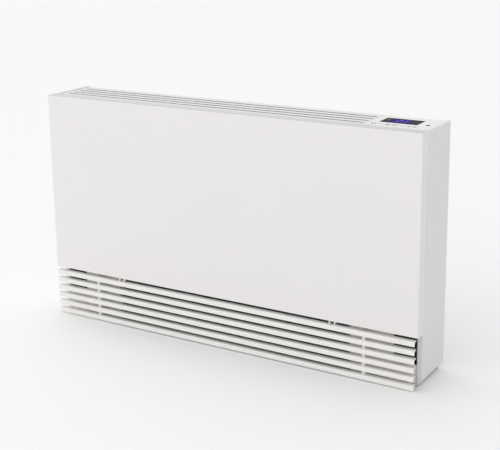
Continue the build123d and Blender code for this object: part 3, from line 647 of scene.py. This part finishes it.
bladeNames = sorted(name for name in nodes if name.startswith("intake_blade_"))
bladeBoxes = [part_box(name) for name in bladeNames]
bladeLow, bladeHigh = bladeBoxes[0]
bladePitch = bladeBoxes[1][0].z - bladeLow.z
blades = grow("louvreBlades", makeBladeTree(), {
    "Count": len(bladeNames), "Pitch": bladePitch, "Face": bladeValues["face"] * mm,
    "Lean": bladeValues["lean"] * mm, "Reach": bladeValues["reach"] * mm,
    "Top Rise": bladeValues["topRise"] * mm,
    "Corner": bladeValues["corner"] * mm, "Wall": bladeValues["wall"] * mm,
    "Corner Steps": bladeValues["cornerSteps"], "Length": bladeHigh.x - bladeLow.x, "Left": bladeLow.x,
    "Front": bladeLow.y, "Bottom": bladeLow.z}, finishes["blade"])
trueUp = bmesh.new()
trueUp.from_mesh(blades.data)
bmesh.ops.recalc_face_normals(trueUp, faces=trueUp.faces)
trueUp.to_mesh(blades.data)
trueUp.free()
blades.data.shade_smooth()
blades.data.set_sharp_from_angle(angle=math.radians(40))
rideAs(blades, "intake_grille", "white_blade", *bladeNames)
print("louvre blades:", len(bladeNames), "at", round(bladePitch / mm, 2), "mm")


# flat shapes that are printed or lit on the control plate

def prism(work, outline, low, high):
    # a thin solid over an outline of (x, y) points, anticlockwise
    top = [work.verts.new((x, y, high)) for x, y in outline]
    bottom = [work.verts.new((x, y, low)) for x, y in outline]
    work.faces.new(top)
    work.faces.new(bottom[::-1])
    for here in range(len(outline)):
        after = (here + 1) % len(outline)
        work.faces.new((bottom[here], bottom[after], top[after], top[here]))


def bar(start, end, breadth):
    # four corners of a straight stroke
    first, last = Vector(start), Vector(end)
    side = (last - first).normalized().orthogonal() * breadth / 2
    return [first + side, first - side, last - side, last + side]


def arcStroke(work, centre, radius, breadth, fromDegrees, toDegrees, low, high, steps=18):
    # a stroke that follows part of a circle
    for number in range(steps):
        angles = [math.radians(fromDegrees + (toDegrees - fromDegrees) * (number + each) / steps)
                  for each in (0, 1)]
        inner, outer = radius - breadth / 2, radius + breadth / 2
        corners = [(inner, angles[0]), (outer, angles[0]), (outer, angles[1]), (inner, angles[1])]
        prism(work, [(centre[0] + r * math.cos(a), centre[1] + r * math.sin(a)) for r, a in corners], low, high)


def printed(name, drawer, finishName, slotName):
    work = bmesh.new()
    drawer(work)
    bmesh.ops.recalc_face_normals(work, faces=work.faces)
    mesh = bpy.data.meshes.new(name)
    work.to_mesh(mesh)
    work.free()
    return rideAs(meshObject(name, mesh, finishes[finishName]), "chassis", slotName)


displayValues = {
    "digits": "21", "digitWidth": 8.5, "digitHeight": 19.0, "digitGap": 3.5, "stroke": 2.1, "lean": 0.08,
    "digitsFromLeft": 45.0, "haloLength": 46.0, "haloFromLeft": 17.0, "haloMargin": 5.0, "haloThickness": 0.015,
    "thickness": 0.04, "digitLift": 0.02,
}
segmentsOf = {"0": "abcdef", "1": "bc", "2": "abged", "3": "abgcd", "4": "fgbc", "5": "afgcd", "6": "afgedc",
              "7": "abc", "8": "abcdefg", "9": "abcdfg"}
glassLow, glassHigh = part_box("display_glass")
glassMid = (glassLow.y + glassHigh.y) / 2
litLow = glassHigh.z
litHigh = litLow + displayValues["thickness"] * mm


def drawDigits(work):
    wide, tall = displayValues["digitWidth"] * mm, displayValues["digitHeight"] * mm
    stroke, lift = displayValues["stroke"] * mm, displayValues["digitLift"] * mm
    corner = {"a": ((0, 1), (1, 1)), "b": ((1, 1), (1, 0.5)), "c": ((1, 0.5), (1, 0)), "d": ((1, 0), (0, 0)),
              "e": ((0, 0), (0, 0.5)), "f": ((0, 0.5), (0, 1)), "g": ((0, 0.5), (1, 0.5))}
    step = wide + displayValues["digitGap"] * mm
    start = glassLow.x + displayValues["digitsFromLeft"] * mm - step * len(displayValues["digits"]) / 2
    for number, digit in enumerate(displayValues["digits"]):
        for segment in segmentsOf[digit]:
            ends = []
            for x, y in corner[segment]:
                rise = (y - 0.5) * tall
                ends.append(Vector((start + number * step + x * wide + rise * displayValues["lean"],
                                    glassMid + rise)))
            trim = (ends[1] - ends[0]).normalized() * stroke * 0.55
            prism(work, bar(ends[0] + trim, ends[1] - trim, stroke), litLow + lift, litHigh + lift)
    degree = (start + len(displayValues["digits"]) * step + 1.5 * mm, glassMid + tall * 0.42)
    arcStroke(work, degree, 1.7 * mm, 0.8 * mm, 0, 360, litLow + lift, litHigh + lift)


def drawHalo(work):
    left = glassLow.x + displayValues["haloFromLeft"] * mm
    right = left + displayValues["haloLength"] * mm
    margin = displayValues["haloMargin"] * mm
    low, high = glassLow.y + margin, glassHigh.y - margin
    prism(work, [(left, low), (right, low), (right, high), (left, high)], litLow,
          litLow + displayValues["haloThickness"] * mm)


def drawYellow(work):
    # flame and sun marks at the display's left end
    x = glassLow.x + 10 * mm
    for y in (glassMid + 11 * mm, glassMid + 2 * mm):
        arcStroke(work, (x, y), 2.2 * mm, 1.0 * mm, 0, 360, litLow, litHigh)
    for number in range(8):
        turn = math.radians(45 * number)
        ray = Vector((math.cos(turn), math.sin(turn)))
        middle = Vector((x, glassMid + 11 * mm))
        prism(work, bar(middle + ray * 3.2 * mm, middle + ray * 4.6 * mm, 0.7 * mm), litLow, litHigh)


def drawViolet(work):
    # level bars at the display's right end
    x = glassHigh.x - 20 * mm
    for number in range(4):
        y = glassMid - 4 * mm
        left = x + number * 4 * mm
        prism(work, bar((left, y), (left, y + (3 + 2 * number) * mm), 1.8 * mm), litLow, litHigh)


printed("displayHalo", drawHalo, "litHaze", "dark_glass")
printed("displayDigits", drawDigits, "litBlue", "dark_glass")
printed("displayMarks", drawYellow, "litYellow", "dark_glass")
printed("displayLevel", drawViolet, "litViolet", "dark_glass")

keyValues = {"count": 7, "fromLeft": 16.0, "pitch": 16.4, "fromFront": 26.5, "size": 5.0, "stroke": 1.7,
             "thickness": 0.05, "dividerLean": 2.2, "hub": 0.3, "crossRise": 0.01}
plateLow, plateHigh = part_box("control_panel")
keyLow = plateHigh.z
keyHigh = keyLow + keyValues["thickness"] * mm
keyY = plateLow.y + keyValues["fromFront"] * mm
keySpots = [(plateLow.x + (keyValues["fromLeft"] + keyValues["pitch"] * number) * mm, keyY)
            for number in range(keyValues["count"])]


def rays(work, centre, count, inner, outer):
    for number in range(count):
        turn = math.tau * number / count
        ray = Vector((math.cos(turn), math.sin(turn)))
        prism(work, bar(Vector(centre) + ray * inner, Vector(centre) + ray * outer, keyValues["stroke"] * mm),
              keyLow, keyHigh)


def drawKeys(work):
    size, stroke = keyValues["size"] * mm, keyValues["stroke"] * mm
    power, _, snow, fan, less, more, night = keySpots
    arcStroke(work, power, size, stroke, 125, 415, keyLow, keyHigh)
    prism(work, bar((power[0], power[1] + size * 0.2), (power[0], power[1] + size * 1.3), stroke),
          keyLow, keyHigh)
    rays(work, snow, 6, keyValues["hub"] * mm, size * 1.1)
    for turn in (0, 120, 240):
        middle = (fan[0] + math.cos(math.radians(turn)) * size * 0.55,
                  fan[1] + math.sin(math.radians(turn)) * size * 0.55)
        arcStroke(work, middle, size * 0.5, stroke, turn - 60, turn + 140, keyLow, keyHigh)
    for spot in (less, more):
        prism(work, bar((spot[0] - size, spot[1]), (spot[0] + size, spot[1]), stroke), keyLow, keyHigh)
    prism(work, bar((more[0], more[1] - size), (more[0], more[1] + size), stroke), keyLow,
          keyHigh + keyValues["crossRise"] * mm)
    arcStroke(work, night, size, stroke, 60, 300, keyLow, keyHigh)
    for left, right in zip(keySpots, keySpots[1:]):
        middle = (left[0] + right[0]) / 2
        lean = keyValues["dividerLean"] * mm
        prism(work, bar((middle - lean, keyY - size), (middle + lean, keyY + size), stroke * 0.5),
              keyLow, keyHigh)


def drawWarmKey(work):
    spot = keySpots[1]
    size = keyValues["size"] * mm
    arcStroke(work, spot, size * 0.55, keyValues["stroke"] * mm, 0, 360, keyLow, keyHigh)
    rays(work, spot, 8, size * 0.85, size * 1.2)


printed("touchKeys", drawKeys, "inkGrey", "component_plastic")
printed("warmKey", drawWarmKey, "inkOrange", "component_plastic")
print("display and touch keys drawn")

# studio

studio = {
    "floorSize": 60.0, "floorColour": (0.95, 0.95, 0.95), "floorDrop": 0.0002, "sky": 0.98, "rightFade": 0.42,
    "key": {"place": (-1.2, -3.4, 2.4), "aim": (0.0, 0.0, 0.3), "size": 3.0, "power": 8.0},
}
floorMesh = bpy.data.meshes.new("floor")
half = studio["floorSize"] / 2
floorMesh.from_pydata([(-half, -half, 0), (half, -half, 0), (half, half, 0), (-half, half, 0)], [],
                      [(0, 1, 2, 3)])
floorMesh.transform(Matrix.Translation((0, 0, -studio["floorDrop"])))
floor = meshObject("floor", floorMesh, finish("floorPaper", studio["floorColour"], 0.85, drift=0.004))
sky = bpy.data.worlds.new("studio")
sky.use_nodes = True
background = sky.node_tree.nodes["Background"]
background.inputs["Color"].default_value = (1.0, 1.0, 1.0, 1.0)
# a white room that is dimmer towards +X
direction = addNode(sky.node_tree, "ShaderNodeSeparateXYZ")
join(sky.node_tree, addNode(sky.node_tree, "ShaderNodeTexCoord").outputs["Generated"], direction.inputs[0])
fade = mathNode(sky.node_tree, "MULTIPLY", direction.outputs["X"], studio["rightFade"])
join(sky.node_tree, mathNode(sky.node_tree, "SUBTRACT", studio["sky"], fade), background.inputs["Strength"])
bpy.context.scene.world = sky
lamp = studio["key"]
light = bpy.data.lights.new("key", "AREA")
light.size = lamp["size"]
light.energy = lamp["power"]
holder = bpy.data.objects.new("key", light)
holder.location = lamp["place"]
holder.rotation_euler = (Vector(lamp["aim"]) - Vector(lamp["place"])).to_track_quat("-Z", "Y").to_euler()
bpy.context.scene.collection.objects.link(holder)
bpy.context.scene.view_settings.view_transform = "Standard"
print("studio lit")
